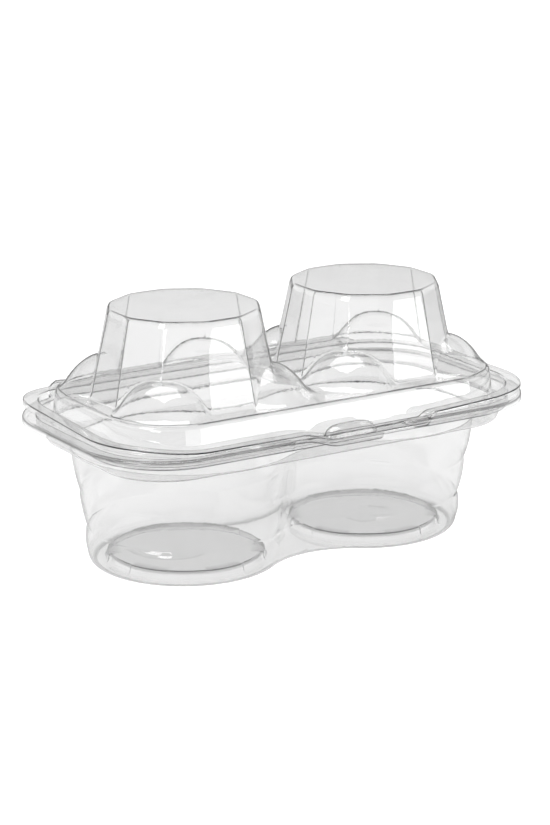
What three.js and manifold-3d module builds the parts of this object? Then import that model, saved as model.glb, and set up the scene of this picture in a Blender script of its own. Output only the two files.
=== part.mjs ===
// Clear hinged box for a pair of cupcakes, closed. Millimetres, +Z up.
// The origin is on the table under the middle of the box; +X runs along the box, -Y is the front.
import * as THREE from 'three';
import { mergeVertices } from 'three/addons/utils/BufferGeometryUtils.js';
import Module from 'manifold-3d';

const wasm = await Module();
wasm.setup();

// Sheet and clearances
const SHEET = 0.4; // formed sheet thickness
const FIT_GAP = 0.35; // free gap between nested walls
const FOLD_GAP = 0.3; // slit left at the fold line, where the sheet creases

// Cups of the tray
const CUP_SPACING = 81; // between the two cup centres
const CUP_FOOT_R = 34.5; // ring that stands on the table
const CUP_LOW_R = 37.2; // above the rounded foot
const CUP_RIM_R = 42.8; // where the cup meets the collar
const CUP_H = 45; // table to the underside of the collar
const FOOT_ROUND = 4; // height of the rounded foot
const WAIST_R = 35; // hollow curve that joins the two cups
const LOW_GROOVE_Z = 13.6; // lower stacking step in the cup wall
const HIGH_GROOVE_Z = 28; // upper stacking step in the cup wall
const LUG_BULGE = 0.8; // how far a wall tier swells at its stacking lugs
const PAD_R = 29.3; // raised round pad in the cup floor
const PAD_H = 3.5; // height of the pad above the table
const PAD_NOTCH = 1.3; // depth of the shallow bays in the pad's edge
const PAD_BAYS = 6; // bays round each pad
const PAD_DRAFT = 0.8; // the pad's edge leans in by this
const BAY_HALF_DEG = 14; // half of the angle that a bay takes
const BAY_RAMP_DEG = 1.5; // angle over which a bay's end runs out to the full pad
const LUG_NARROW = 2; // power that gathers the swell at the diagonals of a cup
const TIER_FLAT = 4; // power that keeps the swell even over a tier's height

// Collar and rim of the tray
const COLLAR_L = 177.8; // upper collar, outside
const COLLAR_W = 96.4;
const COLLAR_R = 28; // corner radius of the upper collar
const STEP_Z = 50.6; // underside of the step that carries the lid
const STEP_IN = 2.8; // width of that step
const STEP_RISE = 0.05; // the step's underside climbs by this across its width
const NECK_TAPER = 1.2; // the lower collar leans in by this
const RIM_Z = 55; // underside of the tray rim
const RIM_OUT = 4; // width of both rims beyond the collar
const RIM_END = 1; // extra width of both rims at the two ends
const NOTCH_W = 56; // finger notch in the front of the tray rim
const NOTCH_D = 2.1;

// Lid
const LID_RIM_RISE = 3.5; // underside of the tray rim to underside of the lid rim
const DECK_Z = 65; // top of the deck
const DECK_L = 164.5; // deck outline at its top
const DECK_W = 85.5;
const DECK_R = 25;
const DECK_TAPER = 1.6; // the deck wall leans out by this at its foot
const DECK_EDGE = 1.2; // rounding of the deck's top edge
const DECK_EDGE_MID = 0.3; // where the middle of that rounding lies, as a share of it
const CONE_SIDES = 12; // flat faces round each dome
const CONE_TOP_R = 28.9; // across the dome's corners at its top
const CONE_FOOT_R = 36; // across the corners at the deck
const CONE_Z = 98; // top of the domes
const CONE_EDGE = 1.3; // rounding of the dome's top edge
const CONE_CORNER = 0.06; // share of each flat face that its rounded corners take
const LOBE_COUNT = 4; // rounded shoulders round each dome
const LOBE_AT_R = 31; // dome axis to the middle of a shoulder
const LOBE_OUT = 15; // half size of a shoulder away from the dome
const LOBE_ALONG = 17; // half size round the dome
const LOBE_H = 12.2; // height above the deck

// Snap button, finger tab and fold
const LATCH_X = 2; // the tab and the notch stand slightly right of the middle
const BUTTON_X = 4.4; // and the button a little more
const BUTTON_HALF_W = 11;
const BUTTON_DEPTH = 3.4; // beyond the deck wall
const BUTTON_H = 6.6; // above the lid's channel
const TAB_W = 52;
const TAB_REACH = 5.3; // beyond the lid rim
const TAB_DROP = 3.9; // the tab bends down by this
const TAB_CORNER = 4;
const TAB_BEND = 1.5; // power of the tab's bend along its reach
const FOLD_L = 140; // length of the fold along the back
const FOLD_REACH = 3.5; // strip between rim and curl
const BEAD_R = 1.7; // stiffening bead along the lid's side of the fold
const BEAD_OUT = 0.6; // from the rim's edge to the middle of the bead

// Smoothness
const CORNER_STEPS = 9;
const CUP_STEPS = 26;
const WAIST_STEPS = 6;
const TIER_STEPS = 4;
const TIER_END = 0.4; // the last level of a tier stands this share of a step nearer the next
const CURL_STEPS = 5;
const EDGE_STEPS = 3; // in the cups' rounded feet and the domes' rounded top edges
const BAY_STEPS = 2;
const TAB_STEPS = 4;
const BALL_STEPS = 24; // round a ball; half as many from pole to pole
const BIG = 200; // longer than any cut needs
const OVERLAP = 0.5; // shapes that are joined or cut run past each other by this
const PAD_ROOT = 1; // the pads' tools start this far under the table
const SAME_POINT = 1e-4; // corners closer than this are one

const halfSpacing = CUP_SPACING / 2;
const cupCentres = [-halfSpacing, halfSpacing];
const rimL = COLLAR_L + 2 * (RIM_OUT + RIM_END);
const rimW = COLLAR_W + 2 * RIM_OUT;
const rimR = COLLAR_R + RIM_OUT;
const lidRimZ = RIM_Z + LID_RIM_RISE;
const curlR = (LID_RIM_RISE + SHEET - FOLD_GAP) / 2; // both curls meet at the fold line
const plugInset = SHEET + FIT_GAP; // lid plug wall inside the collar wall
const plugZ = STEP_Z + SHEET + FIT_GAP; // underside of the lid's channel, over the step

// Solids from geometry
function solid(geometry) {
  const bare = geometry.index ? geometry.toNonIndexed() : geometry.clone();
  bare.deleteAttribute('normal');
  bare.deleteAttribute('uv');
  const merged = mergeVertices(bare, SAME_POINT);
  return new wasm.Manifold(new wasm.Mesh({
    numProp: 3,
    vertProperties: new Float32Array(merged.attributes.position.array),
    triVerts: new Uint32Array(merged.index.array),
  }));
}

function namedMesh(name, shell, material) {
  const data = shell.getMesh();
  const geometry = new THREE.BufferGeometry();
  geometry.setAttribute('position', new THREE.BufferAttribute(new Float32Array(data.vertProperties), 3));
  geometry.setIndex(new THREE.BufferAttribute(new Uint32Array(data.triVerts), 1));
  geometry.computeVertexNormals();
  const mesh = new THREE.Mesh(geometry, material);
  mesh.name = name;
  return mesh;
}

const joined = (solids) => solids.reduce((all, next) => all.add(next));

// Outlines, each a list of points that runs anticlockwise seen from above
function arc(cx, cy, radius, from, to, steps) {
  return Array.from({ length: steps + 1 }, (_, i) => {
    const angle = from + ((to - from) * i) / steps;
    return [cx + radius * Math.cos(angle), cy + radius * Math.sin(angle)];
  });
}

function roundedRectangle(length, width, radius) {
  const x = length / 2 - radius;
  const y = width / 2 - radius;
  const quarter = Math.PI / 2;
  return [[x, y], [-x, y], [-x, -y], [x, -y]].flatMap(([cx, cy], i) => (
    arc(cx, cy, radius, i * quarter, (i + 1) * quarter, CORNER_STEPS)));
}

// Two cup circles joined by hollow curves that touch both
function peanut(radius, waistR, lug = 0) {
  const reach = Math.sqrt((radius + waistR) ** 2 - halfSpacing ** 2);
  const lean = Math.atan2(reach, halfSpacing);
  const cup = (cx, from, to) => arc(0, 0, 1, from, to, CUP_STEPS).map(([ux, uy]) => {
    const swell = radius + lug * Math.abs(2 * ux * uy) ** LUG_NARROW;
    return [cx + swell * ux, swell * uy];
  });
  const waist = (cy, from, to) => arc(0, cy, waistR, from, to, WAIST_STEPS).slice(1, -1);
  return [
    ...cup(halfSpacing, lean - Math.PI, Math.PI - lean),
    ...waist(reach, -lean, lean - Math.PI),
    ...cup(-halfSpacing, lean, 2 * Math.PI - lean),
    ...waist(-reach, Math.PI - lean, lean),
  ];
}

// A round pad with shallow bays in its edge
function padOutline(radius) {
  const bayHalf = THREE.MathUtils.degToRad(BAY_HALF_DEG);
  const ramp = THREE.MathUtils.degToRad(BAY_RAMP_DEG);
  const pitch = (2 * Math.PI) / PAD_BAYS;
  return Array.from({ length: PAD_BAYS }, (_, i) => {
    const middle = pitch * i;
    const inner = arc(0, 0, radius - PAD_NOTCH, middle - bayHalf, middle + bayHalf, BAY_STEPS);
    const outer = arc(0, 0, radius, middle + bayHalf + ramp, middle + pitch - bayHalf - ramp, BAY_STEPS);
    return [...inner, ...outer];
  }).flat();
}

// Flat sided dome outline with small rounded corners
function domeOutline(cornerRadius) {
  const side = (2 * Math.PI) / CONE_SIDES;
  const corner = (i) => {
    const angle = side * (i + 0.5);
    return new THREE.Vector2(cornerRadius * Math.cos(angle), cornerRadius * Math.sin(angle));
  };
  return Array.from({ length: CONE_SIDES }, (_, i) => {
    const here = corner(i);
    const before = here.clone().lerp(corner(i - 1), CONE_CORNER);
    const after = here.clone().lerp(corner(i + 1), CONE_CORNER);
    return [before.toArray(), after.toArray()];
  }).flat();
}

// A closed solid through level rings; every ring has as many points as the first
function loft(levels, cx = 0, cy = 0) {
  const count = levels[0].ring.length;
  const at = ({ ring, z }, i) => {
    const [x, y] = ring[i % count];
    return [cx + x, cy + y, z];
  };
  const triangles = [];
  levels.slice(1).forEach((upper, k) => {
    const lower = levels[k];
    for (let i = 0; i < count; i += 1) {
      triangles.push(at(lower, i), at(lower, i + 1), at(upper, i + 1));
      triangles.push(at(lower, i), at(upper, i + 1), at(upper, i));
    }
  });
  const bottom = levels[0];
  const top = levels[levels.length - 1];
  for (let i = 0; i < count; i += 1) {
    triangles.push([cx, cy, bottom.z], at(bottom, i + 1), at(bottom, i));
    triangles.push([cx, cy, top.z], at(top, i), at(top, i + 1));
  }
  const geometry = new THREE.BufferGeometry();
  geometry.setAttribute('position', new THREE.Float32BufferAttribute(triangles.flat(), 3));
  return solid(geometry);
}

// A smooth ball stretched to three half sizes
function ovalBall(halfX, halfY, halfZ) {
  const ball = new THREE.SphereGeometry(1, BALL_STEPS, BALL_STEPS / 2);
  ball.rotateX(Math.PI / 2);
  ball.scale(halfX, halfY, halfZ);
  return ball;
}

const plate = (ring, z, thickness, cx = 0, cy = 0) => loft([{ ring, z }, { ring, z: z + thickness }], cx, cy);

// A section in the Y-Z plane, given as points, run along X about the middle
function runAlongX(points, length) {
  const shape = new THREE.Shape(points.map(([y, z]) => new THREE.Vector2(y, z)));
  const geometry = new THREE.ExtrudeGeometry(shape, { depth: length, bevelEnabled: false });
  geometry.translate(0, 0, -length / 2);
  geometry.applyMatrix4(new THREE.Matrix4().set(0, 0, 1, 0, 1, 0, 0, 0, 0, 1, 0, 0, 0, 0, 0, 1));
  return solid(geometry);
}

// Cup wall radius at a height, without the lugs: straight between the named sizes
function cupRadius(z) {
  if (z <= FOOT_ROUND) {
    const turn = Math.acos(1 - z / FOOT_ROUND);
    return CUP_FOOT_R + (CUP_LOW_R - CUP_FOOT_R) * Math.sin(turn);
  }
  if (z <= LOW_GROOVE_Z) return CUP_LOW_R;
  const rise = (z - LOW_GROOVE_Z) / (CUP_H - LOW_GROOVE_Z);
  return CUP_LOW_R + (CUP_RIM_R - CUP_LOW_R) * rise;
}

// Each tier swells between the stacking steps, most at the four diagonals of a cup
function cupLevels(inset, top) {
  const levels = [];
  for (let i = 0; i < EDGE_STEPS; i += 1) {
    const z = (FOOT_ROUND * i) / EDGE_STEPS;
    levels.push({ z, lug: 0 });
  }
  const steps = [FOOT_ROUND, LOW_GROOVE_Z, HIGH_GROOVE_Z, CUP_H];
  steps.slice(1).forEach((end, tier) => {
    const start = steps[tier];
    for (let i = 0; i < TIER_STEPS; i += 1) {
      const u = i / (TIER_STEPS - TIER_END);
      levels.push({ z: start + (end - start) * u, lug: LUG_BULGE * (1 - (2 * u - 1) ** TIER_FLAT) });
    }
  });
  levels.push({ z: top, lug: 0 });
  return levels.map(({ z, lug }) => ({
    z: Math.max(z, inset),
    ring: peanut(cupRadius(Math.min(z, CUP_H)) - inset, WAIST_R + inset, lug),
  })).filter((level, i, all) => i === 0 || level.z > all[i - 1].z);
}

// Raised pads under both cups, grown by the sheet for the inner side
function pads(grow) {
  const top = PAD_H + grow;
  return joined(cupCentres.map((cx) => loft([
    { ring: padOutline(PAD_R + grow), z: -PAD_ROOT },
    { ring: padOutline(PAD_R + grow - PAD_DRAFT), z: top },
  ], cx)));
}

// Collar: a neck, the step that carries the lid, and the upper wall
function collar(inset, bottom, top) {
  const ring = (shrink) => roundedRectangle(
    COLLAR_L - 2 * (shrink + inset),
    COLLAR_W - 2 * (shrink + inset),
    COLLAR_R - shrink - inset,
  );
  const step = STEP_Z + inset;
  return loft([
    { ring: ring(STEP_IN + NECK_TAPER), z: bottom },
    { ring: ring(STEP_IN), z: step - STEP_RISE },
    { ring: ring(0), z: step },
    { ring: ring(0), z: top },
  ]);
}

// Back fold: a strip beyond the rim that curls towards the other half of the box
function foldHalf(rimUnderside, direction, beadR) {
  const outerZ = direction > 0 ? rimUnderside : rimUnderside + SHEET;
  const rimEdge = rimW / 2;
  const curlY = rimEdge + FOLD_REACH;
  const beadY = rimEdge + BEAD_OUT;
  const curl = (radius) => arc(curlY, 0, radius, -Math.PI / 2, 0, CURL_STEPS)
    .map(([y, z]) => [y, outerZ + direction * (z + curlR)]);
  const bead = (radius, level) => (radius > 0
    ? arc(beadY, 0, radius, Math.PI, 0, CURL_STEPS).map(([y, z]) => [y, level - direction * z]) : []);
  const section = [
    [rimEdge - RIM_OUT / 2, outerZ],
    ...bead(beadR, outerZ),
    ...curl(curlR),
    ...curl(curlR - SHEET).reverse(),
    ...bead(beadR - SHEET, outerZ + direction * SHEET).reverse(),
    [rimEdge - RIM_OUT / 2, outerZ + direction * SHEET],
  ];
  return runAlongX(section, FOLD_L);
}

function makeTray(material) {
  const rimTop = RIM_Z + SHEET;
  const cupsOutside = loft(cupLevels(0, CUP_H + OVERLAP)).subtract(pads(0));
  const cupsInside = loft(cupLevels(SHEET, CUP_H + 2 * OVERLAP)).subtract(pads(SHEET));
  const outside = joined([
    cupsOutside,
    collar(0, CUP_H, rimTop),
    plate(roundedRectangle(rimL, rimW, rimR), RIM_Z, SHEET),
    foldHalf(RIM_Z, 1, 0),
  ]);
  const inside = cupsInside.add(collar(SHEET, CUP_H + SHEET, rimTop + OVERLAP));
  const notch = plate(
    roundedRectangle(NOTCH_W, 2 * NOTCH_D, NOTCH_D - SHEET / 2),
    RIM_Z - OVERLAP,
    2 * OVERLAP + SHEET,
    LATCH_X,
    -rimW / 2,
  );
  return namedMesh('tray', outside.subtract(inside).subtract(notch), material);
}

// One dome with its shoulders, grown smaller by the sheet for the inner side
function dome(cx, inset) {
  const slope = (CONE_FOOT_R - CONE_TOP_R) / (CONE_Z - DECK_Z);
  const floor = DECK_Z - DECK_EDGE - SHEET;
  const top = CONE_Z - inset;
  const radiusAt = (z) => CONE_TOP_R + slope * (CONE_Z - z) - inset;
  const levels = [{ ring: domeOutline(radiusAt(floor)), z: floor }];
  for (let i = 0; i <= EDGE_STEPS; i += 1) {
    const turn = (Math.PI / 2) * (i / EDGE_STEPS);
    const z = top - CONE_EDGE * (1 - Math.sin(turn));
    levels.push({ ring: domeOutline(radiusAt(z) - CONE_EDGE * (1 - Math.cos(turn))), z });
  }
  const lobes = Array.from({ length: LOBE_COUNT }, (_, i) => {
    const ball = ovalBall(LOBE_OUT - inset, LOBE_ALONG - inset, LOBE_H - inset);
    ball.translate(LOBE_AT_R, 0, DECK_Z);
    ball.rotateZ((2 * Math.PI * (i + 0.5)) / LOBE_COUNT);
    ball.translate(cx, 0, 0);
    return solid(ball);
  });
  return joined([loft(levels, cx), ...lobes]);
}

function deck(inset, bottom) {
  const ring = (grow) => roundedRectangle(
    DECK_L + 2 * (grow - inset),
    DECK_W + 2 * (grow - inset),
    DECK_R + grow - inset,
  );
  const top = DECK_Z - inset;
  const edgeShare = (DECK_EDGE / (DECK_Z - plugZ)) * DECK_TAPER;
  return loft([
    { ring: ring(DECK_TAPER), z: bottom },
    { ring: ring(edgeShare), z: top - DECK_EDGE },
    { ring: ring(-DECK_EDGE * DECK_EDGE_MID), z: top - DECK_EDGE * DECK_EDGE_MID },
    { ring: ring(-DECK_EDGE), z: top },
  ]);
}

// Snap button that stands out of the deck wall into the channel
function button(inset) {
  const ball = ovalBall(BUTTON_HALF_W - inset, BUTTON_DEPTH - inset, BUTTON_H - inset);
  ball.translate(BUTTON_X, -DECK_W / 2 - DECK_TAPER / 2, plugZ + SHEET);
  return solid(ball);
}

// Finger tab: a lip that bends down in front of the tray's notch
function fingerTab() {
  const edge = -rimW / 2;
  const bend = (share) => lidRimZ - TAB_DROP * share ** TAB_BEND;
  const line = Array.from({ length: TAB_STEPS + 1 }, (_, i) => {
    const share = i / TAB_STEPS;
    return [edge - TAB_REACH * share, bend(share)];
  });
  const section = [
    [edge + RIM_OUT / 2, lidRimZ],
    ...line,
    ...line.map(([y, z]) => [y, z + SHEET]).reverse(),
    [edge + RIM_OUT / 2, lidRimZ + SHEET],
  ];
  const outline = roundedRectangle(TAB_W, 2 * (TAB_REACH + RIM_OUT / 2), TAB_CORNER);
  return runAlongX(section, 2 * TAB_W)
    .intersect(plate(outline, lidRimZ - BIG / 2, BIG, LATCH_X, edge + RIM_OUT / 2));
}

function makeLid(material) {
  const plugRing = (inset) => roundedRectangle(
    COLLAR_L - 2 * (plugInset + inset),
    COLLAR_W - 2 * (plugInset + inset),
    COLLAR_R - plugInset - inset,
  );
  const rimTop = lidRimZ + SHEET;
  const channel = joined([
    plate(roundedRectangle(rimL, rimW, rimR), lidRimZ, SHEET),
    plate(plugRing(0), plugZ, rimTop - plugZ),
    foldHalf(lidRimZ, -1, BEAD_R),
    fingerTab(),
  ]).subtract(plate(plugRing(SHEET), plugZ + SHEET, rimTop - plugZ));
  const domesOutside = joined(cupCentres.map((cx) => dome(cx, 0)));
  const domesInside = joined(cupCentres.map((cx) => dome(cx, SHEET)));
  const below = plate(roundedRectangle(BIG, BIG, COLLAR_R), plugZ - BIG, BIG);
  const above = plate(roundedRectangle(BIG, BIG, COLLAR_R), plugZ + SHEET, BIG);
  const outside = joined([channel, deck(0, plugZ), button(0).intersect(above), domesOutside]);
  const inside = joined([deck(SHEET, plugZ - OVERLAP), button(SHEET).subtract(below), domesInside]);
  return namedMesh('lid', outside.subtract(inside), material);
}

const clearSheet = new THREE.MeshStandardMaterial({
  color: 0xeef1f2,
  roughness: 0.08,
  metalness: 0,
  transparent: true,
  opacity: 0.35,
  side: THREE.DoubleSide,
});

const model = new THREE.Group();
model.add(makeTray(clearSheet.clone()), makeLid(clearSheet.clone()));
model.position.y = (TAB_REACH - FOLD_REACH - curlR) / 2;

export default model;
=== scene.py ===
import math

import bmesh
import bpy
import numpy as np
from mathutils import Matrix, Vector


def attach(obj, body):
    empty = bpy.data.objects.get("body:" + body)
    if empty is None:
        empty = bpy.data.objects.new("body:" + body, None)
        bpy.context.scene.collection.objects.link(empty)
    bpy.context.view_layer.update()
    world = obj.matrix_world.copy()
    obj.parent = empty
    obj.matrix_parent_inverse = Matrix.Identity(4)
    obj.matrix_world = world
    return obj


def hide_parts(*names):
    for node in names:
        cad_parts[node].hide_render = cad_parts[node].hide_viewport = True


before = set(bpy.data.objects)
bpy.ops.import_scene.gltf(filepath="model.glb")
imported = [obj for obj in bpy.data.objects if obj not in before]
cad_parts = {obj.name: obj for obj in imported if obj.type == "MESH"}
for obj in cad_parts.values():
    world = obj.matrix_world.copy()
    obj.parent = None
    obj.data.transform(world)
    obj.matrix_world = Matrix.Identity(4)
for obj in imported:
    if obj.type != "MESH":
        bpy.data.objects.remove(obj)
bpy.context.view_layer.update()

# Tray
# The lower half of the box: two round cups joined by a waist, with raised floor pads, stacking lugs,
# a collar with a step for the lid, and a flat rim whose thin lip turns down. It is vacuum formed in one
# go from clear PET sheet, so every wall is the same thin sheet. Sizes are in millimetres.

MM = 0.001
SHEET = 0.4
# Points closer than this are joined, and faces that turn less than this are shaded as one surface
MERGE, FLAT_TURN = 0.002, math.radians(50)
# How far each cup's axis is off the middle, and the radii of its foot ring, its wall's foot and its top
CUP_AT = 40.5
FOOT_R, LOW_R, TOP_R = 34.5, 37.2, 42.8
CUP_H, FOOT_H = 45.0, 4.0
# The heights that part the three tiers of stacking lugs, how far a lug swells, and how squarely
TIER_Z = (FOOT_H, 13.6, 28.0, CUP_H)
LUG, LUG_POWER = 0.95, 2.6
WAIST_R = 35.0
# The floor pads: radius, height, how far a bay steps in, and how far the edge slopes in. A bay fades
# out between two angles from its middle, in degrees.
PAD_R, PAD_H, PAD_BAY, PAD_DRAFT = 30.1, 3.5, 0.6, 0.7
BAY_IN, BAY_OUT = 13.4, 16.0
# Length, width and corner radius of the collar and of the rim
COLLAR = (177.8, 96.4, 28.0)
RIM = (187.8, 104.4, 32.0)
STEP_Z, STEP_IN, NECK_IN = 50.6, 2.8, 4.0
TRAY_RIM_Z, RIM_FLAT = 55.0, 1.5
# The finger notch at the latch: its half length, its ends, how far it is cut back and how far it drops,
# then how far the rim's flat starts further in, and by what share the lip gets thinner and flatter
LATCH_X = 0.8
NOTCH_HALF, NOTCH_END, NOTCH_D, NOTCH_DROP = 27.0, 3.5, 3.6, 0.8
NOTCH_CUT, NOTCH_THIN, NOTCH_FLAT = 2.5, 0.73, 0.9
# The fold at the back: its half length, how it fades at its ends, its reach and the curl at its edge
FOLD_HALF, FOLD_IN, FOLD_PAST, FOLD_OUT, CURL_R = 70.0, 2.0, 1.0, 3.5, 1.8
# Distances at which the sheet's folds start to turn, and rows between the folds
PAD_TURNS, PAD_FILLS = (0, 0.4, 1.8, 0), (3, 3, 2, 5)
TRAY_TURNS, TRAY_FILLS = (0.9, 1.6, 0.7, 0.7, 0.8, 0), (1, 3, 2, 1, 2, 3)
HALVINGS, NEARLY_HALF = 48, 0.48


def outline_point(place, size, grow=0.0):
    """A rounded rectangle, grown all round: its core corner scaled by the two shares of the place,
    plus the corner radius along the place's heading."""
    share_x, share_y, heading = place
    length, width, radius = size
    return np.stack([
        share_x * (length / 2 - radius) + (radius + grow) * np.cos(heading),
        share_y * (width / 2 - radius) + (radius + grow) * np.sin(heading),
    ], axis=-1)


def outline_place(start, direction, size, grow=0.0):
    """Where a ray from start leaves the rounded rectangle: its length is halved in on until the point
    is one corner radius from the core, and the place is that core point's shares and the heading."""
    length, width, radius = size
    core = np.array([length / 2 - radius, width / 2 - radius])
    near = np.zeros(len(direction))
    far = np.full(len(direction), length)
    for _ in range(HALVINGS):
        middle = (near + far) / 2
        point = start + direction * middle[:, None]
        beyond = np.linalg.norm(np.maximum(np.abs(point) - core, 0), axis=1) > radius + grow
        far = np.where(beyond, middle, far)
        near = np.where(beyond, near, middle)
    point = start + direction * near[:, None]
    share = np.clip(point / core, -1, 1)
    rest = point - share * core
    return share[:, 0], share[:, 1], np.arctan2(rest[:, 1], rest[:, 0])


def level(points, z):
    """Plan points at one height, or at a height each."""
    return np.column_stack([points, np.broadcast_to(z, len(points))])


def toward(here, there, distance):
    """Points that far along the lines from here to there, and never quite half way."""
    line = there - here
    length = np.linalg.norm(line, axis=1, keepdims=True)
    return here + line * np.minimum(distance / np.maximum(length, 1e-9), NEARLY_HALF)


def rounded_rows(rings, turns, fills, steps=5):
    """Rows of points from ring to ring in straight lines. At a ring with a turn, the corner is cut to
    the quadratic curve that leaves and meets the lines that far from it."""
    rows = [rings[0]]
    for k in range(1, len(rings)):
        start, here = rows[-1], rings[k]
        turn = turns[k - 1]
        end = toward(here, rings[k - 1], turn) if turn and k + 1 < len(rings) else here
        for share in np.arange(1, fills[k - 1] + 1) / fills[k - 1]:
            rows.append(start + (end - start) * share)
        if turn and k + 1 < len(rings):
            leave = toward(here, rings[k + 1], turn)
            for t in np.arange(1, steps + 1) / steps:
                rows.append((1 - t) ** 2 * end + 2 * t * (1 - t) * here + t ** 2 * leave)
    return rows


def grid_faces(rows, columns, first, closed):
    """Quads between neighbours of a grid of points; a closed grid joins its last column to its first."""
    row, column = np.meshgrid(np.arange(rows - 1), np.arange(columns - (not closed)), indexing="ij")
    here = first + row * columns + column
    beside = first + row * columns + (column + 1) % columns
    return np.stack([here, beside, beside + columns, here + columns], axis=-1).reshape(-1, 4)


def formed_sheet(name, halves, up):
    """One formed sheet from its two halves. Each half is a closed grid round a cup, then an open strip
    of rows outside it. Up says whether the lid's way of facing outwards is meant, or the tray's."""
    points, faces, first = [], [], 0
    for side, (inner, outer) in zip((1, -1), halves):
        for rows, closed in ((inner, True), (outer, False)):
            grid = np.array(rows)
            quads = grid_faces(len(rows), grid.shape[1], first, closed)
            flip = (side < 0) != up
            faces.append(quads[:, ::-1] if flip else quads)
            points.append(grid.reshape(-1, 3))
            first += len(points[-1])
    mesh = bpy.data.meshes.new(name)
    mesh.from_pydata((np.concatenate(points) * MM).tolist(), [], np.concatenate(faces).tolist())
    return finished_sheet(name, mesh)


def finished_sheet(name, mesh):
    """A piece from a bare surface: doubles merged, then the wall behind it, then its smooth shading."""
    shape = bmesh.new()
    shape.from_mesh(mesh)
    bmesh.ops.remove_doubles(shape, verts=shape.verts, dist=MERGE * MM)
    shape.to_mesh(mesh)
    shape.free()
    rough = bpy.data.objects.new(name + "_sheet", mesh)
    bpy.context.scene.collection.objects.link(rough)
    wall = rough.modifiers.new("wall", "SOLIDIFY")
    wall.thickness = SHEET * MM
    wall.offset = -1
    wall.use_quality_normals = True
    graph = bpy.context.evaluated_depsgraph_get()
    finished = bpy.data.meshes.new_from_object(rough.evaluated_get(graph))
    bpy.data.objects.remove(rough)
    finished.name = name
    finished.polygons.foreach_set("use_smooth", np.ones(len(finished.polygons), bool))
    finished.set_sharp_from_angle(angle=FLAT_TURN)
    piece = bpy.data.objects.new(name, finished)
    bpy.context.scene.collection.objects.link(piece)
    return piece


def smoothstep(low, high, value):
    """0 up to low, 1 from high, and the cubic 3t^2 - 2t^3 between."""
    t = np.clip((value - low) / (high - low), 0, 1)
    return t * t * (3 - 2 * t)


def waist_reach(radius):
    """How far off the middle the waist's curve is centred, so that it touches both cup circles."""
    return math.sqrt((radius + WAIST_R) ** 2 - CUP_AT ** 2)


# Columns of the tray's grid: directions from a cup's axis, closer together at the edges of the six bays,
# and one exactly where each waist curve ends and where it leaves the cup's circle
bay_steps = np.array([0, 2.5, 5, 7.5, 10, 12, 13.3, 14, 15.5, 16.2, 17.5, 20, 22.5, 25, 27.5])
sixth = np.concatenate([bay_steps, 60 - bay_steps[:0:-1], [30.0]])
tray_angles = np.radians(np.sort((sixth[None, :] + 60 * np.arange(6)[:, None]).ravel()))
tray_angles = (tray_angles + math.pi) % (2 * math.pi) - math.pi
foot_reach = waist_reach(FOOT_R)
foot_lean = math.atan2(foot_reach, CUP_AT)
waist_edge = math.atan2(foot_reach - WAIST_R, CUP_AT)
for corner in (waist_edge, -waist_edge, foot_lean, -foot_lean):
    tray_angles[np.argmin(np.abs(tray_angles - corner))] = corner
tray_angles = np.sort(tray_angles % (2 * math.pi))
turned = np.minimum(tray_angles, 2 * math.pi - tray_angles)
tray_outside = np.flatnonzero(turned >= waist_edge - 1e-9)
out_turned = turned[tray_outside]
out_side = np.where(tray_angles[tray_outside] <= math.pi, 1.0, -1.0)
on_cup = out_turned >= foot_lean - 1e-9
cup_share = np.clip((out_turned - foot_lean) / (math.pi - foot_lean), 0, 1)


def waist_hit(angle):
    """How far a ray from a cup's axis runs to the hollow curve of the waist, at the foot."""
    along = CUP_AT * np.cos(angle) + foot_reach * np.sin(angle)
    return along - np.sqrt(np.maximum(along ** 2 - CUP_AT ** 2 - foot_reach ** 2 + WAIST_R ** 2, 0))


hit_x = -CUP_AT + waist_hit(out_turned) * np.cos(out_turned)
waist_turn = np.arcsin(np.clip(-hit_x / WAIST_R, -1, 1)) / math.atan2(CUP_AT, foot_reach)
waist_share = np.clip(np.where(on_cup, 1, waist_turn), 0, 1)


def peanut(radius, lug=0.0):
    """Outline of one cup and half the waist, with its outward directions. The cup is a circle, which
    swells with the square of sin(2 angle) to its diagonals; the waist is a hollow arc that touches it."""
    reach = waist_reach(radius)
    lean = math.atan2(reach, CUP_AT)
    angle = lean + (math.pi - lean) * cup_share
    swell = lug * np.sin(2 * angle) ** 2
    outward = np.stack([np.cos(angle), out_side * np.sin(angle)], axis=-1)
    cup = [-CUP_AT, 0] + outward * (radius + swell)[:, None]
    bend = math.atan2(CUP_AT, reach) * waist_share
    inward = np.stack([np.sin(bend), out_side * np.cos(bend)], axis=-1)
    centre = np.stack([np.zeros(len(bend)), out_side * reach], axis=-1)
    fade = lug * math.sin(2 * lean) ** 2 * waist_share ** 2
    waist = centre - inward * (WAIST_R - fade)[:, None]
    chosen = on_cup[:, None]
    return np.where(chosen, cup, waist), np.where(chosen, outward, inward)


def pad_rows():
    """Rows from the middle of a pad to the foot: the flat pad, its drafted edge, which steps in by a bay
    over about 29 of every 60 degrees, and the floor out to the foot ring or the middle of the box."""
    from_bay = np.abs((np.degrees(tray_angles) + 30) % 60 - 30)
    bay = 1 - smoothstep(BAY_IN, BAY_OUT, from_bay)
    pad = PAD_R - PAD_BAY * bay
    foot = np.where(turned >= foot_lean - 1e-9, FOOT_R, waist_hit(turned))
    foot = np.where(turned <= waist_edge + 1e-9, CUP_AT / np.cos(turned), foot)
    heading = np.stack([np.cos(tray_angles), np.sin(tray_angles)], axis=-1)

    def ring(distance, z):
        return level([-CUP_AT, 0] + heading * distance[:, None], z)

    rings = [ring(pad * 0, PAD_H), ring(pad * 0.5, PAD_H), ring(pad - PAD_DRAFT, PAD_H), ring(pad, 0.0),
             ring(foot, 0.0)]
    return rounded_rows(rings, PAD_TURNS, PAD_FILLS)


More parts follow.
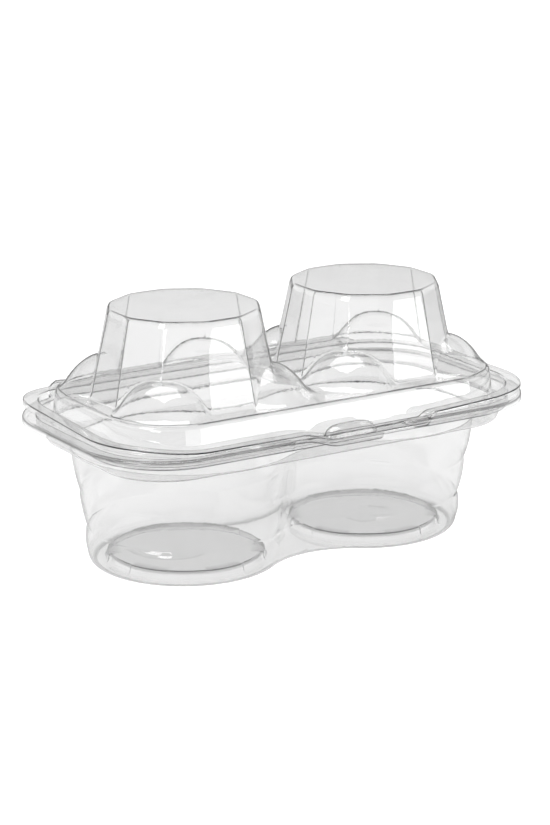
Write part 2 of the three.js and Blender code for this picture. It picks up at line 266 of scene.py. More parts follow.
def cup_rows():
    """Rows up the cup's wall: a quarter ellipse at the foot, then three tiers, each swelling at its lugs
    by 1 - |2u - 1|^2.6 at the share u of its height."""
    rows = []
    for turn in np.radians(np.arange(15, 90, 15)):
        z = FOOT_H * (1 - math.cos(turn))
        rows.append(level(peanut(FOOT_R + (LOW_R - FOOT_R) * math.sin(turn))[0], z))
    for low, high in zip(TIER_Z, TIER_Z[1:]):
        for u in (0, 0.04, 0.1, 0.2, 0.35, 0.5, 0.65, 0.8, 0.9, 0.96):
            z = low + (high - low) * u
            rise = max(0.0, (z - TIER_Z[1]) / (CUP_H - TIER_Z[1]))
            radius = LOW_R + (TOP_R - LOW_R) * rise
            rows.append(level(peanut(radius, LUG * (1 - abs(2 * u - 1) ** LUG_POWER))[0], z))
    return rows


def end_rows(place, side, z, sections):
    """Rows over the rim's outer edge. Each section is a list of (outward, upward) steps from the edge;
    its share at a column is 0 to 1, and a straight one runs along Y from the rim's straight edge."""
    edge = outline_point(place, RIM)
    heading = np.stack([np.cos(place[2]), np.sin(place[2])], axis=-1)
    rows = []
    for k in range(len(sections[0][0])):
        total = 0
        for steps, share, straight in sections:
            out, rise = steps[k]
            if straight:
                spot = np.stack([edge[:, 0], np.sign(edge[:, 1]) * (RIM[1] / 2 + out)], axis=-1)
            else:
                spot = edge + heading * np.reshape(out, (-1, 1))
            total = total + level(spot, z + rise) * np.reshape(share, (-1, 1))
        rows.append(total)
    return rows


# Steps (outward, upward) over the rim's edge: a flat, a tight turn and a short lip that hangs down
TRAY_LIP = [(-RIM_FLAT, 0), (-1.0, 0), (-0.55, -0.03), (-0.25, -0.13), (-0.08, -0.35), (-0.02, -0.7),
            (0, -1.2), (0, -1.8), (0, -2.3)]


def notch_share(x):
    """1 across the finger notch, 0 beyond its rounded ends."""
    return 1 - smoothstep(NOTCH_HALF - NOTCH_END, NOTCH_HALF, np.abs(x - LATCH_X))


def fold_share(x, y):
    """1 along the fold at the back, 0 past its ends."""
    return (1 - smoothstep(FOLD_HALF - FOLD_IN, FOLD_HALF + FOLD_PAST, np.abs(x))) * (y > 0)


def tray_half(side):
    """Rows of one half of the tray, from the pad out to the rim's edge."""
    wall_top, outward = peanut(TOP_R)
    place = outline_place(wall_top, outward, COLLAR, -NECK_IN)
    ring = lambda grow, z: level(outline_point(place, COLLAR, grow), z)
    rim = outline_point(place, RIM)
    x = side * rim[:, 0]
    front = rim[:, 1] < 0
    notch = notch_share(x) * front
    fold = fold_share(x, rim[:, 1])
    cut = -RIM_FLAT - NOTCH_CUT * notch
    heading = np.stack([np.cos(place[2]), np.sin(place[2])], axis=-1)
    top = TRAY_RIM_Z - NOTCH_DROP * notch
    rim_start = level(rim + heading * cut[:, None], top)
    rings = [cup_rows()[-1], level(wall_top, CUP_H), ring(-NECK_IN, CUP_H), ring(-STEP_IN, STEP_Z),
             ring(0, STEP_Z), ring(0, top), rim_start]
    outer = rounded_rows(rings, TRAY_TURNS, TRAY_FILLS)
    curl = [(-RIM_FLAT, 0), (-0.5, 0), (1.5, 0), (3.0, 0.0)]
    for turn in np.radians((12, 32, 52, 72, 90)):
        curl.append((FOLD_OUT + CURL_R * math.sin(turn), CURL_R * (1 - math.cos(turn))))
    thinner, flatter = 1 - NOTCH_THIN * notch, 1 - NOTCH_FLAT * notch
    lip = [(out * thinner - NOTCH_D * notch, rise * flatter - NOTCH_DROP * notch) for out, rise in TRAY_LIP]
    rows = end_rows(place, side, TRAY_RIM_Z, [(lip, 1 - fold, False), (curl, fold, True)])
    inner = pad_rows()
    outer = [inner[-1][tray_outside], *cup_rows(), *outer[1:], *rows[1:]]
    flip = np.array([side, 1, 1])
    return [row * flip for row in inner], [row * flip for row in outer]


# How dark the painted shade is on the pads, their edges and the foot, from 0 to 1, and how wide and
# tall those marks are
PAD_SHADE, PAD_TALL, PAD_EDGE_SHADE, PAD_EDGE_WIDE = 0.2, 0.6, 0.52, 0.45
FOOT_SHADE, FOOT_WIDE, FOOT_TALL = 0.6, 0.8, 0.9
EDGE_WIDE, EDGE_TALL = 0.7, 0.55
# Outline, growth, height and painted shade of the tray's folded edges: the rim's, the step's and the wall's
# top
SHADED_EDGES = ((RIM, 0, TRAY_RIM_Z - 0.4, 0.85), (COLLAR, 0, STEP_Z, 0.4), (COLLAR, -NECK_IN, CUP_H, 0.45))


def quarter_places(piece):
    """The x, y and z of a piece's vertices in millimetres, mirrored into the quarter at the right back."""
    flat = np.empty(3 * len(piece.data.vertices))
    piece.data.vertices.foreach_get("co", flat)
    return np.abs(flat.reshape(-1, 3).T / MM)


def keep_mark(piece, name, value):
    """Keeps a value for each vertex of a piece, which its material reads by name."""
    mark = piece.data.attributes.new(name, "FLOAT", "POINT")
    mark.data.foreach_set("value", value)


def tray_shade(x, y, z):
    """How dark the painted shade on the sheet is at each place, from 0 to 1: a little on the pads, more round
    their edges and at the foot, and most along the rim's edge, fading with the distance above or below it."""
    reach = np.hypot(x - CUP_AT, y)
    off_edge = np.abs(reach - PAD_R + PAD_DRAFT + PAD_BAY / 2)
    on_pad = (np.abs(z - PAD_H) < PAD_TALL) & (reach < PAD_R + 1)
    shade = np.where(on_pad, np.where(off_edge < PAD_EDGE_WIDE, PAD_EDGE_SHADE, PAD_SHADE), 0.0)
    waist_y = foot_reach - np.sqrt(WAIST_R ** 2 - np.minimum(x, CUP_AT / 2) ** 2)
    at_foot = np.where(x < CUP_AT / 2, y > waist_y - FOOT_WIDE, reach > FOOT_R - FOOT_WIDE)
    shade = np.where(at_foot, FOOT_SHADE * np.clip(FOOT_TALL - z, 0, 1), shade)
    for size, grow, height, full in SHADED_EDGES:
        core_x, core_y = size[0] / 2 - size[2], size[1] / 2 - size[2]
        beyond = np.hypot(np.maximum(x - core_x, 0), np.maximum(y - core_y, 0)) - size[2] - grow
        near = (np.abs(beyond) < EDGE_WIDE) * np.clip(1 - np.abs(z - height) / EDGE_TALL, 0, 1)
        shade = np.maximum(shade, full * near)
    return shade


tray = formed_sheet("tray_sheet", [tray_half(1), tray_half(-1)], up=False)
# The mark by which the material paints shade on the pads, the foot and the folded edges
keep_mark(tray, "shade", tray_shade(*quarter_places(tray)))
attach(tray, "tray")
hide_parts("tray")

# Lid
# The upper half, formed from the same sheet: two tall twelve-sided domes with four round shoulders
# each on a flat deck, a wall that plugs into the tray's collar, a rim, the finger tab at the front and a
# stiffening bead along the fold at the back. Its rim dips at the latch and springs up at the left end.

LID_RIM_Z = 58.9
# Length, width and corner radius of the deck, then its height, its rounded edge and its wall's lean
DECK = (164.5, 85.5, 25.0)
DECK_Z, DECK_EDGE, DECK_LEAN = 65.0, 1.2, 1.6
# The channel inside the plug wall, and how far that wall stands inside the collar
CHANNEL_Z, PLUG_IN, CHANNEL_TURN = 51.75, 1.15, 0.8
# The domes: sides and how sharp their folds are at the top and the foot, corner radii, height and edge
SIDES, SHARP_TOP, SHARP_FOOT = 12, 48.0, 1100.0
DOME_TOP_R, DOME_FOOT_R, DOME_Z, DOME_EDGE = 29.2, 36.0, 98.0, 1.4
# Rows down a dome are picked from many tries, which lie closer at the top, by length and by bend
DOME_ROWS, DOME_TRIES, DOME_BUNCH, BEND_WEIGHT = 62, 1600, 1.6, 5.0
# The shoulders on a dome's diagonals: place, reach outward and along, height, and their form
LOBE_AT, LOBE_OUT, LOBE_ALONG, LOBE_H = 30.0, 17.0, 17.5, 12.6
LOBE_OUT_POWER, LOBE_ALONG_POWER, LOBE_BELOW = 2.4, 2.6, 0.5
LOBE_FILLET, WALL_FILLET = 3.6, 2.4
# The dip of the rim at the latch, from and to where it starts and ends, and the plug wall's share of it
DIP_LEFT, DIP_RIGHT, DIP, DIP_PLUG = (-22.0, -7.0), (33.0, 37.5), 3.5, 0.55
# The sag of the front rim, with its two ends
SAG, SAG_LEFT, SAG_RIGHT = 1.6, (-92.0, -60.0), (30.0, 76.0)
TAB_LEFT, TAB_FULL, TAB_RIGHT, TAB_CORNER = -48.0, -20.0, 13.5, 3.0
# Steps (outward, upward) over the lid's edge, and the same where the finger tab is at its fullest
LID_LIP = [(-RIM_FLAT, 0), (-1.0, 0), (-0.55, -0.02), (-0.28, -0.08), (-0.1, -0.22), (-0.02, -0.45),
           (0, -0.8), (0, -1.15), (0, -1.5)]
TONGUE = [(-RIM_FLAT, 0), (-0.8, 0), (-0.1, -0.02), (0.35, -0.12), (0.7, -0.4), (1.1, -0.85), (1.55, -1.3),
          (2.0, -1.65), (2.5, -1.75)]
BEAD_R, BEAD_OUT = 1.7, 0.6
# How far the left end springs up, from where, and how much less it does so at the front
SPRING, SPRING_FROM, SPRING_POWER = 3.2, 55.0, 1.5
SPRING_FRONT, SPRING_Y, SPRING_OUT = 0.22, 40.0, (3.5, 5.0)
LID_TURNS, LID_FILLS = (0.7, 0.8, 0.8, 0), (1, 2, 4, 3)
# How far off a fold the painted shade along it reaches
FOLD_WIDE = 0.52

# Columns of the lid's grid: directions from a dome's axis, closer together at its folds and at the latch
fold_steps = np.array([0, 0.3, 0.75, 1.4, 2.6, 4.6, 7.4, 11.0])
twelfth = np.concatenate([fold_steps, 30 - fold_steps[:0:-1], [15.0]]) + 15
front_steps = np.arange(279.5, 314, 1.6)
fold_angles = (twelfth[None, :] + 30 * np.arange(SIDES)[:, None]).ravel() % 360
lid_angles = np.concatenate([fold_angles, front_steps])
lid_angles = np.radians(np.sort(lid_angles))
deck_corner = math.atan2(DECK[1] / 2 - DECK_EDGE, CUP_AT)
for corner in (deck_corner, 2 * math.pi - deck_corner):
    lid_angles[np.argmin(np.abs(lid_angles - corner))] = corner
lid_turned = np.minimum(lid_angles, 2 * math.pi - lid_angles)
lid_outside = np.flatnonzero(lid_turned >= deck_corner - 1e-9)
lid_heading = np.stack([np.cos(lid_angles), np.sin(lid_angles)], axis=-1)


def dome_shape(angle, sharp):
    """Radius of a twelve-sided outline of unit corner radius. The sides are blended by the p-norm of
    their reaches, which rounds the folds between them."""
    side = math.radians(360 / SIDES)
    faces = np.arange(SIDES) * side
    reach = np.maximum(np.cos(angle[:, None] - faces[None, :]), 1e-3)
    return math.cos(side / 2) / (reach ** sharp).sum(axis=1) ** (1 / sharp)


def blend_over(a, b, width):
    """The higher of two surfaces, with a fillet. Where they are less than the width apart, the result
    is b + (a - b) h + width h (1 - h), with h going straight from 0 to 1."""
    h = np.clip(0.5 + (a - b) / (2 * width), 0, 1)
    return b + (a - b) * h + width * h * (1 - h)


def dome_rows():
    """Rows from a dome's axis over its top and down its wall, over the shoulders and out on the deck,
    with the rim's places outside them. Outside the top, the height is the highest of the wall's slope,
    the four shoulders and the deck, with fillets between. A shoulder rises with 1 - |u|^2.4 - |v|^2.6 of
    its shares u outward and v along. The rows are spaced by length plus how much the surface bends."""
    place = outline_place(np.array([-CUP_AT, 0.0]), lid_heading, DECK, -DECK_EDGE)
    edge = outline_point(place, DECK, -DECK_EDGE)
    end = np.hypot(edge[:, 0] + CUP_AT, edge[:, 1])
    inside = lid_turned <= deck_corner + 1e-9
    end = np.where(inside, CUP_AT / np.cos(lid_turned), end)
    top_r = DOME_TOP_R * dome_shape(lid_angles, SHARP_TOP)
    slope = (DOME_Z - DECK_Z) / (DOME_FOOT_R * dome_shape(lid_angles, SHARP_FOOT) - top_r)
    flat = top_r - DOME_EDGE
    start = top_r + DOME_EDGE * 0.25
    fine = np.linspace(0, 1, DOME_TRIES)[None, :]
    r = start[:, None] + (end - start)[:, None] * fine ** DOME_BUNCH
    wall = DOME_Z - slope[:, None] * (r - top_r[:, None])
    x, y = r * lid_heading[:, :1], r * lid_heading[:, 1:]
    ground = np.full(r.shape, DECK_Z)
    for k in range(4):
        turn = math.pi / 4 + k * math.pi / 2
        along = (x * math.cos(turn) + y * math.sin(turn) - LOBE_AT) / LOBE_OUT
        across = (y * math.cos(turn) - x * math.sin(turn)) / LOBE_ALONG
        room = 1 - np.abs(along) ** LOBE_OUT_POWER - np.abs(across) ** LOBE_ALONG_POWER
        shoulder = DECK_Z + LOBE_H * np.maximum(room, -LOBE_BELOW)
        ground = blend_over(shoulder, ground, LOBE_FILLET)
    height = blend_over(wall, ground, WALL_FILLET)
    height[:, -1] = DECK_Z
    height = np.maximum(height, DECK_Z)
    dr, dz = np.diff(r, axis=1), np.diff(height, axis=1)
    run = np.hypot(dr, dz)
    lean = np.arctan2(dz, dr)
    bend = np.abs(np.diff(lean, axis=1, prepend=lean[:, :1]))
    weight = run + BEND_WEIGHT * np.minimum(bend, 0.5)
    travel = np.concatenate([np.zeros((len(r), 1)), np.cumsum(weight, axis=1)], axis=1)
    rows = []

    def ring(distance, z):
        return level([-CUP_AT, 0] + lid_heading * distance[:, None], z)

    for share in (0, 0.2, 0.45, 0.7, 0.88, 1):
        rows.append(ring(flat * share, DOME_Z))
    for turn in np.radians((15, 30, 45, 60, 74)):
        rows.append(ring(flat + DOME_EDGE * math.sin(turn), DOME_Z - DOME_EDGE * (1 - math.cos(turn))))
    targets = np.linspace(0, 1, DOME_ROWS)[None, :] * travel[:, -1:]
    picked_r = np.stack([np.interp(t, s, v) for t, s, v in zip(targets, travel, r)])
    picked_z = np.stack([np.interp(t, s, v) for t, s, v in zip(targets, travel, height)])
    picked_z[:, 0] = np.minimum(picked_z[:, 0], DOME_Z - DOME_EDGE)
    for k in range(DOME_ROWS):
        rows.append(ring(picked_r[:, k], picked_z[:, k]))
    return rows, tuple(part[lid_outside] for part in place)


def tab_share(x):
    """How much of its full reach the finger tab has: a long slope on the left, and a quarter circle on
    the right."""
    past = np.clip((x - TAB_RIGHT + TAB_CORNER) / TAB_CORNER, 0, 1)
    return smoothstep(TAB_LEFT, TAB_FULL, x) * np.sqrt(1 - past ** 2)


def sprung(row):
    """A row with the lid's left end sprung up: the lift grows with the power 1.5 of the share of the way
    to that end, with the height over the channel and to the back, and starts outside the deck's wall."""
    core = np.array([DECK[0] / 2 - DECK[2], DECK[1] / 2 - DECK[2]])
    beyond = np.linalg.norm(np.maximum(np.abs(row[:, :2]) - core, 0), axis=1) - DECK[2]
    past = np.maximum(0, -row[:, 0] - SPRING_FROM) / (RIM[0] / 2 - SPRING_FROM)
    back = SPRING_FRONT + (1 - SPRING_FRONT) * smoothstep(-SPRING_Y, SPRING_Y, row[:, 1])
    height = np.clip((row[:, 2] - CHANNEL_Z) / (LID_RIM_Z - CHANNEL_Z), 0, 1)
    lift = SPRING * past ** SPRING_POWER * back * height * smoothstep(*SPRING_OUT, beyond)
    return row + np.outer(lift, (0, 0, 1))


def lid_half(side):
    """Rows of one half of the lid, from the dome's axis out to the rim's edge."""
    inner, place = dome_rows()
    deck = lambda grow, z: level(outline_point(place, DECK, grow), z)
    plug = lambda grow, z: level(outline_point(place, COLLAR, grow), z)
    lean = lambda z: DECK_LEAN * (DECK_Z - z) / (DECK_Z - CHANNEL_Z)
    rim = outline_point(place, RIM)
    heading = np.stack([np.cos(place[2]), np.sin(place[2])], axis=-1)
    x = side * rim[:, 0]
    front = rim[:, 1] < 0
    outer = []
    for turn in np.radians((18, 36, 54, 72)):
        outer.append(deck(DECK_EDGE * (math.sin(turn) - 1), DECK_Z - DECK_EDGE * (1 - math.cos(turn))))
    for z in np.linspace(DECK_Z - DECK_EDGE, CHANNEL_Z + CHANNEL_TURN, 11):
        outer.append(deck(lean(z), z))
    sag = SAG * smoothstep(*SAG_LEFT, x) * (1 - smoothstep(*SAG_RIGHT, x)) * front
    dip = DIP * smoothstep(*DIP_LEFT, x) * (1 - smoothstep(*DIP_RIGHT, x)) * front
    rings = [outer[-1], deck(lean(CHANNEL_Z), CHANNEL_Z), plug(-PLUG_IN, CHANNEL_Z),
             plug(-PLUG_IN, LID_RIM_Z - sag - DIP_PLUG * dip),
             level(rim - heading * RIM_FLAT, LID_RIM_Z - sag - dip)]
    outer += rounded_rows(rings, LID_TURNS, LID_FILLS, steps=4)[1:]
    fold = fold_share(x, rim[:, 1])
    tab = tab_share(x) * front
    swell = [(-RIM_FLAT, 0)]
    for turn in np.radians((15, 50, 90, 130, 165)):
        swell.append((BEAD_OUT - BEAD_R * math.cos(turn), BEAD_R * math.sin(turn)))
    swell += [(FOLD_OUT, 0), (FOLD_OUT + CURL_R * 0.7, -CURL_R * 0.3), (FOLD_OUT + CURL_R, -CURL_R)]
    lip = [(out * (1 - tab) + far_out * tab, rise * (1 - tab) + fall * tab - dip - sag)
           for (out, rise), (far_out, fall) in zip(LID_LIP, TONGUE)]
    rows = end_rows(place, side, LID_RIM_Z, [(lip, 1 - fold, False), (swell, fold, True)])
    outer = [inner[-1][lid_outside], *outer, *rows[1:]]
    flip = np.array([side, 1, 1])
    return [row * flip for row in inner], [sprung(row * flip) for row in outer]


def fold_mark(x, y, z):
    """1 on the folds between a dome's sides, falling to 0 at half a millimetre off, on its wall only. The
    material paints shade along the folds by this mark.
    """
    reach = np.hypot(x - CUP_AT, y)
    wall_r = DOME_TOP_R + (DOME_FOOT_R - DOME_TOP_R) * (DOME_Z - z) / (DOME_Z - DECK_Z)
    turn = 360 / SIDES
    off_fold = np.radians(np.abs(np.degrees(np.arctan2(y, x - CUP_AT)) % turn - turn / 2)) * reach
    on_wall = (np.abs(reach - wall_r) < 1) & (z > DECK_Z + 1) & (z < DOME_Z - 0.5)
    return (1 - np.clip(off_fold / FOLD_WIDE, 0, 1)) * on_wall


lid = formed_sheet("lid_sheet", [lid_half(1), lid_half(-1)], up=True)
keep_mark(lid, "fold", fold_mark(*quarter_places(lid)))
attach(lid, "lid")
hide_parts("lid")

# Snap button
# The bubble that the thumb presses to shut the box. It is drawn up out of the front of the lid's rim,
# over the dip, from the same clear sheet, with steep sides and a nearly flat top.

BUTTON_AT = (1.1, -49.4)
BUTTON_HALF = (11.0, 2.9)
# Height over its foot, the foot's height and its slope to the front, and how square its outline is
BUTTON_H, BUTTON_BASE, BUTTON_SLOPE = 3.7, 54.1, 0.33
BUTTON_SQUARE, BUTTON_TURNS, BUTTON_ROWS = 3.2, 96, 22


def bubble(around, outward):
    """A point at a turn round the button and a share of the way out to its foot. The foot is the
    superellipse |x|^3.2 + |y|^3.2 = 1, stretched, and slopes down to the front. The height over it is
    (1 - share^4)^(1/2) of the full one."""
    power = 2 / BUTTON_SQUARE
    x = BUTTON_HALF[0] * np.sign(np.cos(around)) * np.abs(np.cos(around)) ** power
    y = BUTTON_HALF[1] * np.sign(np.sin(around)) * np.abs(np.sin(around)) ** power
    up = BUTTON_H * np.sqrt(np.maximum(1 - outward ** 4, 0))
    return np.stack([BUTTON_AT[0] + outward * x, BUTTON_AT[1] + outward * y,
                     BUTTON_BASE + BUTTON_SLOPE * outward * y + up], axis=-1)


turns, shares = np.meshgrid(np.linspace(0, 2 * math.pi, BUTTON_TURNS, endpoint=False),
                            np.sin(np.linspace(0, math.pi / 2, BUTTON_ROWS)))
button_grid = bubble(turns, shares)
button_faces = grid_faces(BUTTON_ROWS, BUTTON_TURNS, 0, True)[:, ::-1]
button_mesh = bpy.data.meshes.new("snap_button")
button_mesh.from_pydata((button_grid.reshape(-1, 3) * MM).tolist(), [], button_faces.tolist())
button = finished_sheet("snap_button", button_mesh)
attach(button, "lid")

# Clear sheet
# Glass-clear PET, vacuum formed: it bends light strongly at its folds, is glossy on both sides, and has
# the faint waves and the fine grain that cooling on the mould leaves. Its tint is painted darker edge on,
# and where a piece keeps a mark for a fold, an edge or a pad. This is painted shade for the dark lines and
# grey that bent light draws there, because a render shows so thin a fold less than the real one.

# The sheet's own tint, the colour of the painted shade at its edges, folds and pads, and the tint of lamp
# light through it
SHEET_TINT, PAINTED_SHADE_TINT, SHADOW_TINT = "#F9F9F9", "#4A4A4A", "#F0F0F0"
PET_IOR, PET_ROUGH = 1.57, 0.03
# Width and depth of the waves and of the grain. The real grain is finer: it is drawn as coarse as this so
# that it shows.
WAVE_WIDTH, WAVE_DEPTH, GRAIN_WIDTH, GRAIN_DEPTH = 22.2, 0.2, 1.11, 0.02


def linear(code, alpha=1.0):
    """An sRGB hex colour as linear red, green, blue and alpha."""
    value = np.array([int(code[k:k + 2], 16) for k in (1, 3, 5)]) / 255
    light = np.where(value <= 0.04045, value / 12.92, ((value + 0.055) / 1.055) ** 2.4)
    return (*light.tolist(), alpha)


def node(tree, kind, inputs=None, **settings):
    """Adds a node with its settings; an input is a value, or the socket that feeds it."""
    made = tree.nodes.new(kind)
    for name, value in settings.items():
        setattr(made, name, value)
    for name, value in (inputs or {}).items():
        if isinstance(name, int):
            socket = made.inputs[name]
        else:
            socket = next(one for one in made.inputs if one.enabled and name in (one.name, one.identifier))
        if isinstance(value, bpy.types.NodeSocket):
            tree.links.new(value, socket)
        else:
            socket.default_value = value
    return made


def bare_tree(owner):
    """The owner's node tree, switched on and emptied."""
    owner.use_nodes = True
    owner.node_tree.nodes.clear()
    return owner.node_tree


pet = bpy.data.materials.new("clear_PET_vacuum_formed")
tree = bare_tree(pet)
spot = node(tree, "ShaderNodeTexCoord")
waves = node(tree, "ShaderNodeTexNoise", {
    "Vector": spot.outputs["Object"], "Scale": 1 / (WAVE_WIDTH * MM), "Detail": 2.0})
grain = node(tree, "ShaderNodeTexNoise", {
    "Vector": spot.outputs["Object"], "Scale": 1 / (GRAIN_WIDTH * MM), "Detail": 1.0})
low_bump = node(tree, "ShaderNodeBump", {
    "Height": waves.outputs["Fac"], "Distance": WAVE_DEPTH * MM, "Strength": 0.4})
bump = node(tree, "ShaderNodeBump", {
    "Height": grain.outputs["Fac"], "Distance": GRAIN_DEPTH * MM, "Strength": 0.3,
    "Normal": low_bump.outputs["Normal"]})
# Painted shade: the colour darkens seen edge on, and along the domes' folds where they are seen slanting
edge_on = node(tree, "ShaderNodeLayerWeight", {"Blend": 0.5})
depth = node(tree, "ShaderNodeMapRange", {
    "Value": edge_on.outputs["Facing"], "From Min": 0.74, "From Max": 1.0}, interpolation_type="SMOOTHSTEP")
fold = node(tree, "ShaderNodeAttribute", attribute_name="fold")
slant = node(tree, "ShaderNodeMapRange", {
    "Value": edge_on.outputs["Facing"], "From Min": 0.17, "From Max": 0.28, "To Max": 1.25})
painted_fold_shade = node(tree, "ShaderNodeMath", {
    0: fold.outputs["Fac"], 1: slant.outputs["Result"]}, operation="MULTIPLY")
darker = node(tree, "ShaderNodeMath", {
    0: depth.outputs["Result"], 1: painted_fold_shade.outputs[0]}, operation="MAXIMUM")
# Painted shade from the tray's mark: on its pads, their edges, its foot and its folded edges
shade = node(tree, "ShaderNodeAttribute", attribute_name="shade")
darkest = node(tree, "ShaderNodeMath", {0: darker.outputs[0], 1: shade.outputs["Fac"]}, operation="MAXIMUM")
tint = node(tree, "ShaderNodeMix", {
    "Factor": darkest.outputs[0], "A": linear(SHEET_TINT), "B": linear(PAINTED_SHADE_TINT)}, data_type="RGBA")
colour = next(one for one in tint.outputs if one.enabled)
clear = node(tree, "ShaderNodeBsdfPrincipled", {
    "Base Color": colour, "Roughness": PET_ROUGH, "IOR": PET_IOR, "Transmission Weight": 1.0,
    "Normal": bump.outputs["Normal"]})
through = node(tree, "ShaderNodeBsdfTransparent", {"Color": linear(SHADOW_TINT)})
path = node(tree, "ShaderNodeLightPath")
either = node(tree, "ShaderNodeMixShader", {
    0: path.outputs["Is Shadow Ray"], 1: clear.outputs["BSDF"], 2: through.outputs["BSDF"]})
node(tree, "ShaderNodeOutputMaterial", {"Surface": either.outputs["Shader"]})
for piece in (tray, lid, button):
    piece.data.materials.clear()
    piece.data.materials.append(pet)

# Table and light
# A pale matt table in a white studio. Bent and mirrored rays find it dark near the horizon and overhead,
# and a table that glows less further off, so that the clear sheet shows by its folds. For those rays it
# also glows less right under the box, a painted shadow. Five soft boxes light it: two low in front, a
# strip at the front left, one at the left and one overhead.

HALF_FLOOR, FLOOR_DROP = 6.0, 0.0002
TABLE_GREY = 0.42
MIRRORED_SHARE = 0.65
floor_mesh = bpy.data.meshes.new("floor")
floor_mesh.from_pydata([(x * HALF_FLOOR, y * HALF_FLOOR, 0) for x, y in ((-1, -1), (1, -1), (1, 1), (-1, 1))],
                       [], [(0, 1, 2, 3)])
floor = bpy.data.objects.new("floor", floor_mesh)
bpy.context.scene.collection.objects.link(floor)
floor.location.z = -FLOOR_DROP
matt = bpy.data.materials.new("white_matt_table")
tree = bare_tree(matt)
path = node(tree, "ShaderNodeLightPath")
spot = node(tree, "ShaderNodeNewGeometry")
far = node(tree, "ShaderNodeVectorMath", {0: spot.outputs["Position"]}, operation="LENGTH")
fall = node(tree, "ShaderNodeMapRange", {
    "Value": far.outputs["Value"], "From Min": 0.5, "From Max": 1.0, "To Min": 1.0, "To Max": 0.03},
    interpolation_type="SMOOTHSTEP")
# Painted shadow: the glow that bent and mirrored rays see is lower right under the box
shadow_under_box = node(tree, "ShaderNodeMapRange", {
    "Value": far.outputs["Value"], "From Min": 0.03, "From Max": 0.24, "To Min": 0.41, "To Max": 0.57},
    interpolation_type="SMOOTHSTEP")
shade = node(tree, "ShaderNodeMath", {
    0: fall.outputs["Result"], 1: shadow_under_box.outputs["Result"]}, operation="MULTIPLY")
mirrored = node(tree, "ShaderNodeMath", {
    0: path.outputs["Is Glossy Ray"], 1: MIRRORED_SHARE}, operation="MULTIPLY")
seen = node(tree, "ShaderNodeMath", {
    0: path.outputs["Is Transmission Ray"], 1: mirrored.outputs[0]}, operation="MAXIMUM")
glow = node(tree, "ShaderNodeMath", {0: seen.outputs[0], 1: shade.outputs[0]}, operation="MULTIPLY")
plainly = node(tree, "ShaderNodeMapRange", {
    "Value": far.outputs["Value"], "From Min": 0.3, "From Max": 1.2, "To Min": 0.8, "To Max": 1.0})
straight = node(tree, "ShaderNodeMath", {
    0: path.outputs["Is Camera Ray"], 1: plainly.outputs["Result"]}, operation="MULTIPLY")
strength = node(tree, "ShaderNodeMath", {0: straight.outputs[0], 1: glow.outputs[0]}, operation="ADD")
shine = node(tree, "ShaderNodeEmission", {"Color": linear("#FFFFFF"), "Strength": strength.outputs[0]})
plain = node(tree, "ShaderNodeBsdfDiffuse", {"Color": (TABLE_GREY, TABLE_GREY, TABLE_GREY, 1)})
both = node(tree, "ShaderNodeAddShader", {0: plain.outputs["BSDF"], 1: shine.outputs["Emission"]})
node(tree, "ShaderNodeOutputMaterial", {"Surface": both.outputs["Shader"]})
floor_mesh.materials.append(matt)

world = bpy.data.worlds.new("studio")
bpy.context.scene.world = world
tree = bare_tree(world)
path = node(tree, "ShaderNodeLightPath")
spot = node(tree, "ShaderNodeTexCoord")
axes = node(tree, "ShaderNodeSeparateXYZ", {"Vector": spot.outputs["Generated"]})
rise = node(tree, "ShaderNodeMapRange", {
    "Value": axes.outputs["Z"], "From Min": 0.04, "From Max": 0.14, "To Min": 0.12, "To Max": 0.67},
    interpolation_type="SMOOTHSTEP")
drop = node(tree, "ShaderNodeMapRange", {
    "Value": axes.outputs["Z"], "From Min": 0.38, "From Max": 0.55, "To Min": 1.0, "To Max": 0.15},
    interpolation_type="SMOOTHSTEP")
climb = node(tree, "ShaderNodeMath", {
    0: rise.outputs["Result"], 1: drop.outputs["Result"]}, operation="MULTIPLY")
tone = node(tree, "ShaderNodeMix", {"Factor": path.outputs["Is Camera Ray"], "A": climb.outputs[0], "B": 1.0})
sky = node(tree, "ShaderNodeBackground", {"Color": linear("#FFFFFF"), "Strength": tone.outputs["Result"]})
node(tree, "ShaderNodeOutputWorld", {"Surface": sky.outputs["Background"]})


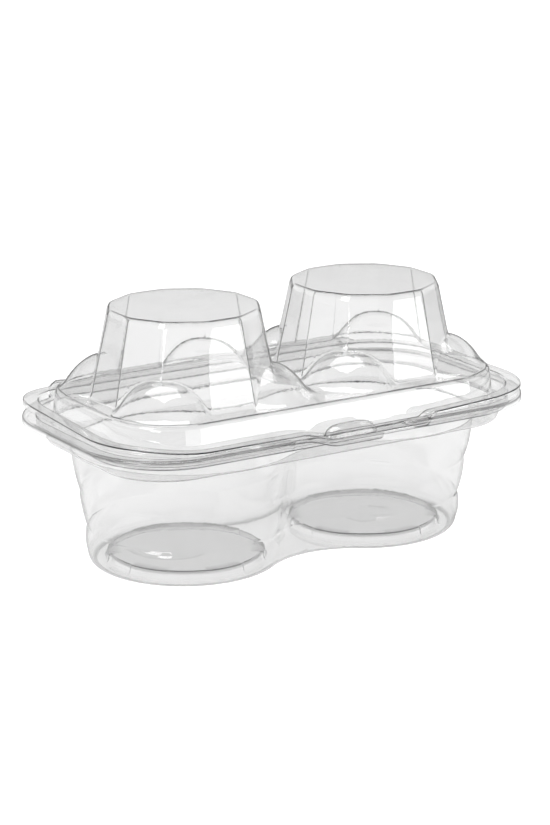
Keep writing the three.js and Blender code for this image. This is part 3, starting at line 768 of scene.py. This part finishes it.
def soft_box(name, place, aim, width, height, watts):
    """A rectangular area lamp that faces the aim. It lights the box and its reflections show, but it
    isn't seen directly or through the clear sheet."""
    lamp = bpy.data.lights.new(name, "AREA")
    lamp.shape = "RECTANGLE"
    lamp.size, lamp.size_y = width, height
    lamp.energy = watts
    holder = bpy.data.objects.new(name, lamp)
    bpy.context.scene.collection.objects.link(holder)
    holder.location = place
    holder.visible_camera = False
    holder.visible_transmission = False
    holder.rotation_euler = (Vector(place) - Vector(aim)).to_track_quat("Z", "Y").to_euler()


DECK_MIDDLE, BOX_MIDDLE = (0, 0, 0.08), (0, 0, 0.05)
soft_box("front", (0.26, -0.44, 0.08), DECK_MIDDLE, width=0.36, height=0.15, watts=0.85)
soft_box("fill", (0.0, -0.56, 0.08), DECK_MIDDLE, width=0.24, height=0.15, watts=0.27)
soft_box("strip", (-0.72, -0.5, 0.17), DECK_MIDDLE, width=0.25, height=0.16, watts=0.9)
soft_box("left", (-1.1, -0.35, 0.75), BOX_MIDDLE, width=0.5, height=0.8, watts=7.0)
soft_box("top", (0.0, 0.1, 1.3), BOX_MIDDLE, width=1.1, height=0.9, watts=16.0)

# Camera
# It stands where the photo's did, a metre off at the front left and a third of a metre up, with a long
# lens. Its place and its focal length were found by fitting the rims, the cup floors and the dome tops.

SENSOR, PHOTO_TALL_PX, FOCAL_PX = 36.0, 825, 2617
AIM, AWAY, DISTANCE = (-0.31, 0, 50.45), (-0.5216, -0.8093, 0.2701), 1001.6
camera = bpy.data.cameras.new("camera")
camera.sensor_width = SENSOR
camera.lens = FOCAL_PX / PHOTO_TALL_PX * SENSOR
eye = bpy.data.objects.new("camera", camera)
bpy.context.scene.collection.objects.link(eye)
back = Vector(AWAY).normalized()
eye.location = Vector(AIM) * MM + back * DISTANCE * MM
eye.rotation_euler = (-back).to_track_quat("-Z", "Y").to_euler()
bpy.context.scene.camera = eye

# Light crosses many sheets, each with two faces, on its way through the box
SHEET_BOUNCES, GLOSSY_BOUNCES = 28, 8
cycles = bpy.context.scene.cycles
cycles.max_bounces = SHEET_BOUNCES
cycles.transmission_bounces = SHEET_BOUNCES
cycles.glossy_bounces = GLOSSY_BOUNCES
cycles.transparent_max_bounces = SHEET_BOUNCES
bpy.context.scene.view_settings.view_transform = "Standard"
